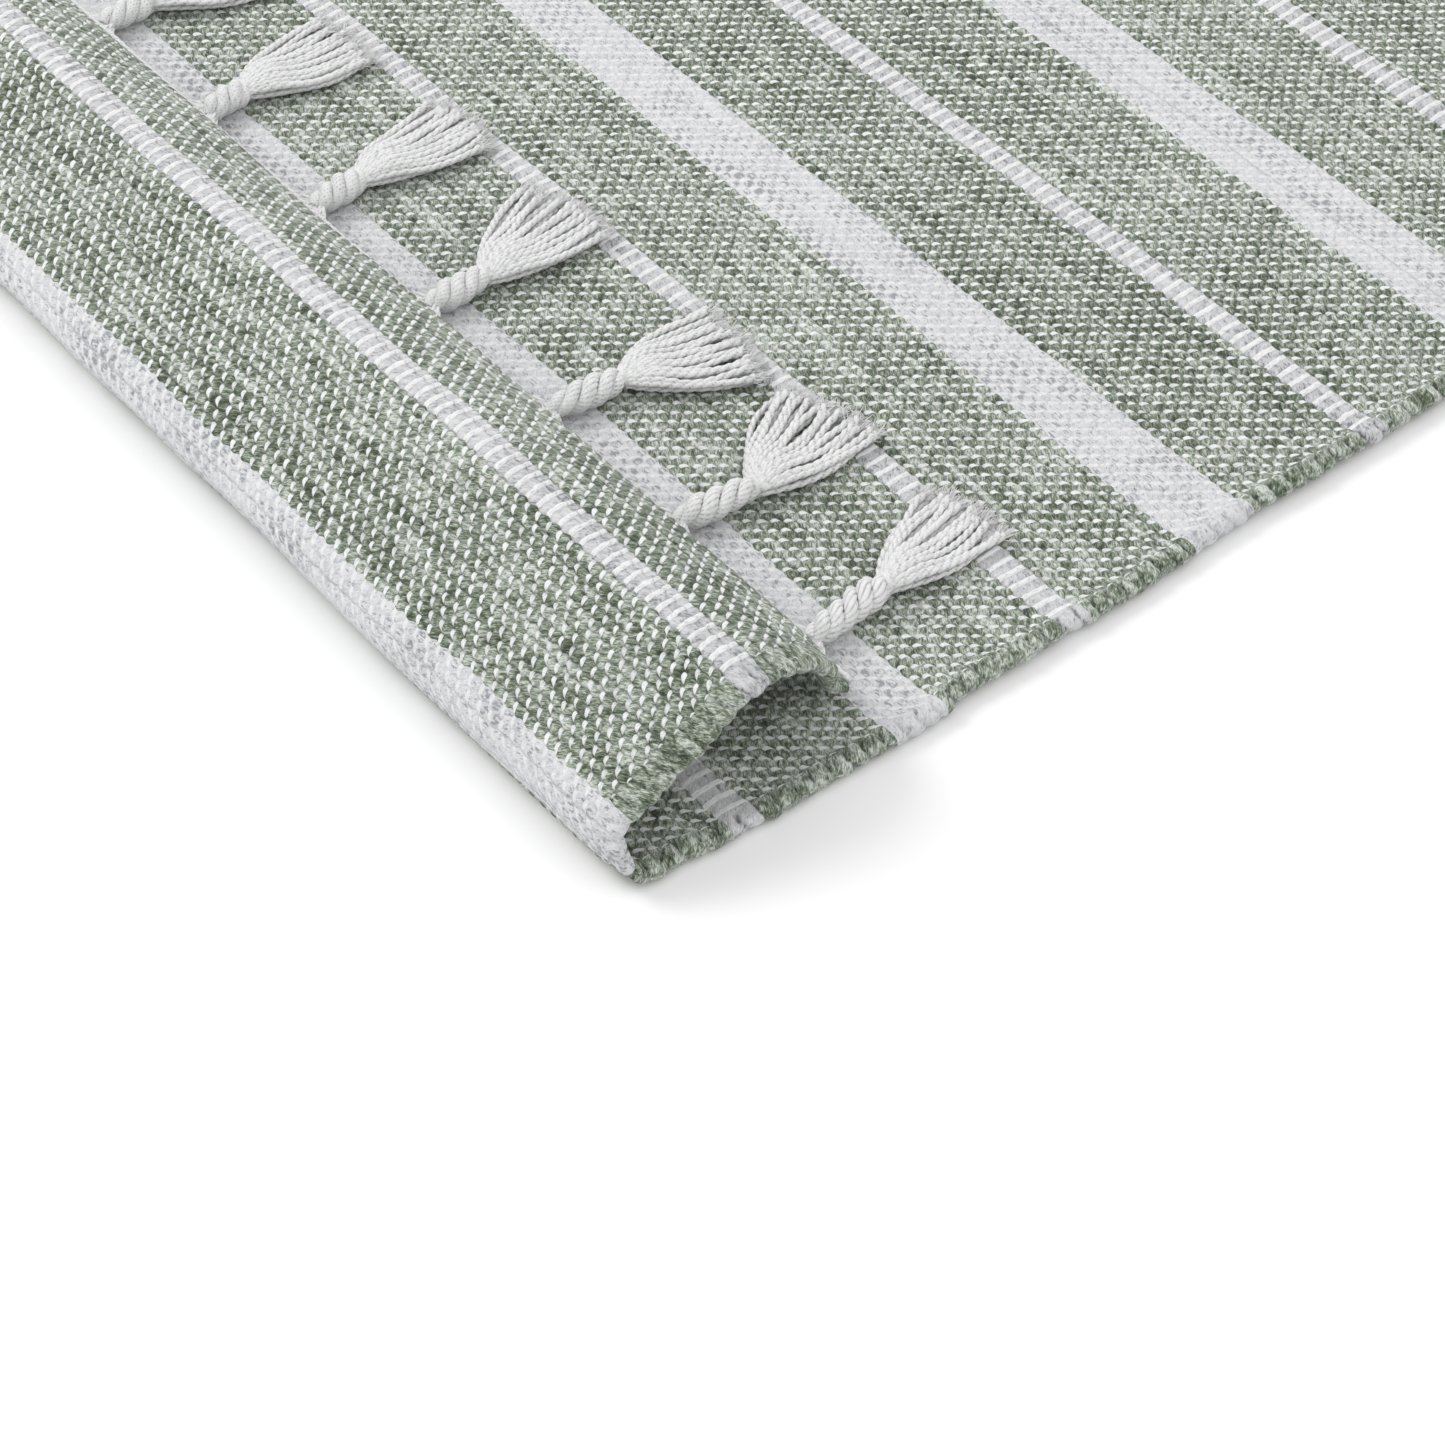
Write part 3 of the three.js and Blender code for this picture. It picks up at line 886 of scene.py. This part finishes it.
CORD_POINTS = 700
CORD_RADIUS = 0.00135
CORD_TWIST = 2 * math.pi / 0.0075  # radians a metre, as are the others
ROOT_YARNS = 14  # warps that gather into a tassel, as drawn
ROOT_RADIUS = 0.00085
ROOT_TWIST = 2 * math.pi / 0.004


def end_cord(end, x, z, body, half):
    """The twined line along the last pick, and the warps that gather into each tassel."""
    rng = np.random.default_rng(5 if end == "far" else 6)
    bundle = Bundle()
    y = np.linspace(-half, half, CORD_POINTS)
    wobble = 0.00025 * LOOSE.at(y * 140, 3.0)
    line = np.stack([x + wobble, y, np.full_like(y, z)], -1)
    bundle.sweep(line, CORD_RADIUS, 10, lobes=2, twist=CORD_TWIST, depth=0.36)
    for number in TASSELS:
        root = np.array(JOINTS[f"tassel_{end}_{number:02d}_lift"]["pos_m"])
        for i in range(ROOT_YARNS):
            lane = (i + 0.5) / (ROOT_YARNS / 2) - 1
            start = np.array([x - 0.0012, root[1] + lane * 0.0115, z + rng.uniform(-0.0004, 0.0006)])
            stop = root + np.array([0.0022, lane * 0.0021, rng.uniform(-0.0012, 0.0016)])
            s = np.linspace(0, 1, 8)[:, None]
            bow = np.sin(math.pi * s) * np.array([0.0006, 0, 0.0004])
            bundle.sweep(start + (stop - start) * s + bow, ROOT_RADIUS, 6, lobes=2,
                         twist=ROOT_TWIST, depth=0.25)
    piece = bundle.make(f"end_twining_{end}")
    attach(piece, body)
    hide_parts(f"end_cord_{end}")


def end_cords():
    for end, body in (("folded", "folded_end"), ("far", "field")):
        low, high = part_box(f"end_cord_{end}")
        end_cord(end, (low.x + high.x) / 2, (low.z + high.z) / 2, body, high.y - 0.002)


end_cords()


# ---------------------------------------------------------------- floor, light and camera
FLOOR_REACH = 30.0  # metres, so that no view shows its edge


def floor():
    mesh = bpy.data.meshes.new("floor")
    reach = FLOOR_REACH
    mesh.from_pydata([(-reach, -reach, 0), (reach, -reach, 0), (reach, reach, 0), (-reach, reach, 0)],
                     [], [(0, 1, 2, 3)])
    made = bpy.data.objects.new("floor", mesh)
    bpy.context.scene.collection.objects.link(made)
    g = Nodes("pale_floor")
    place = g.tree.nodes.new("ShaderNodeTexCoord").outputs["Object"]
    mottle = g.noise(place, 3.0, 3.0)
    g.put(g.shader.inputs["Base Color"], g.ramp(mottle, (0.3, grey(0.86)), (0.7, grey(0.88))))
    g.shader.inputs["Roughness"].default_value = 0.9
    mesh.materials.append(g.material)
    made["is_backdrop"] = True


def area_light(name, place, target, size, power):
    light = bpy.data.lights.new(name, "AREA")
    light.shape, light.size, light.energy = "SQUARE", size, power
    made = bpy.data.objects.new(name, light)
    made.location = place
    made.rotation_euler = (Vector(target) - Vector(place)).to_track_quat("-Z", "Y").to_euler()
    bpy.context.scene.collection.objects.link(made)


# Each light: its offset from the fold and its side in metres, and its watts
LIGHTS = {"key": ((-0.9, 1.9, 2.1), 1.3, 44), "fill": ((0.6, -1.6, 1.8), 2.2, 10)}
WORLD_STRENGTH = 0.92


def studio():
    world = bpy.data.worlds.new("studio")
    world.use_nodes = True
    world.node_tree.nodes["Background"].inputs[0].default_value = (1, 1, 1, 1)
    world.node_tree.nodes["Background"].inputs[1].default_value = WORLD_STRENGTH
    bpy.context.scene.world = world
    at = Vector(path_point(BEND_PICKS[0]))
    for name, (offset, size, power) in LIGHTS.items():
        area_light(name, at + Vector(offset), at, size, power)
    bpy.context.scene.view_settings.view_transform = "Standard"


# Fitted to the long edges, stripes, ridge and ties in the photograph
CAMERA_FROM_CORNER = (-0.4299, -0.5476, 0.8572)
CAMERA_ANGLES = (39.66, 48.30, -0.19)  # degrees: heading, down, roll
CAMERA_LENS = 91.9


def camera():
    """Looks down on the near corner of the fold, with the rug running away to the upper right."""
    data = bpy.data.cameras.new("camera")
    made = bpy.data.objects.new("camera", data)
    bpy.context.scene.collection.objects.link(made)
    corner = Vector((path_point(BEND_PICKS[0])[0], -HALF_WIDTH, 2 * SOLE))
    made.location = corner + Vector(CAMERA_FROM_CORNER)
    heading, down, roll = (math.radians(angle) for angle in CAMERA_ANGLES)
    forward = Vector((math.sin(heading) * math.cos(down), math.cos(heading) * math.cos(down),
                      -math.sin(down)))
    turn = forward.to_track_quat("-Z", "Y").to_matrix().to_4x4()
    made.rotation_euler = turn.to_euler()
    made.rotation_euler.rotate_axis("Z", -roll)
    data.lens, data.sensor_width = CAMERA_LENS, 36.0
    data.clip_start = 0.01
    bpy.context.scene.camera = made


floor()
studio()
camera()


def plain(box):
    return [[float(value) for value in corner] for corner in box]


{"cad": plain(CAD_BOX), "visual": plain(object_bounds())}
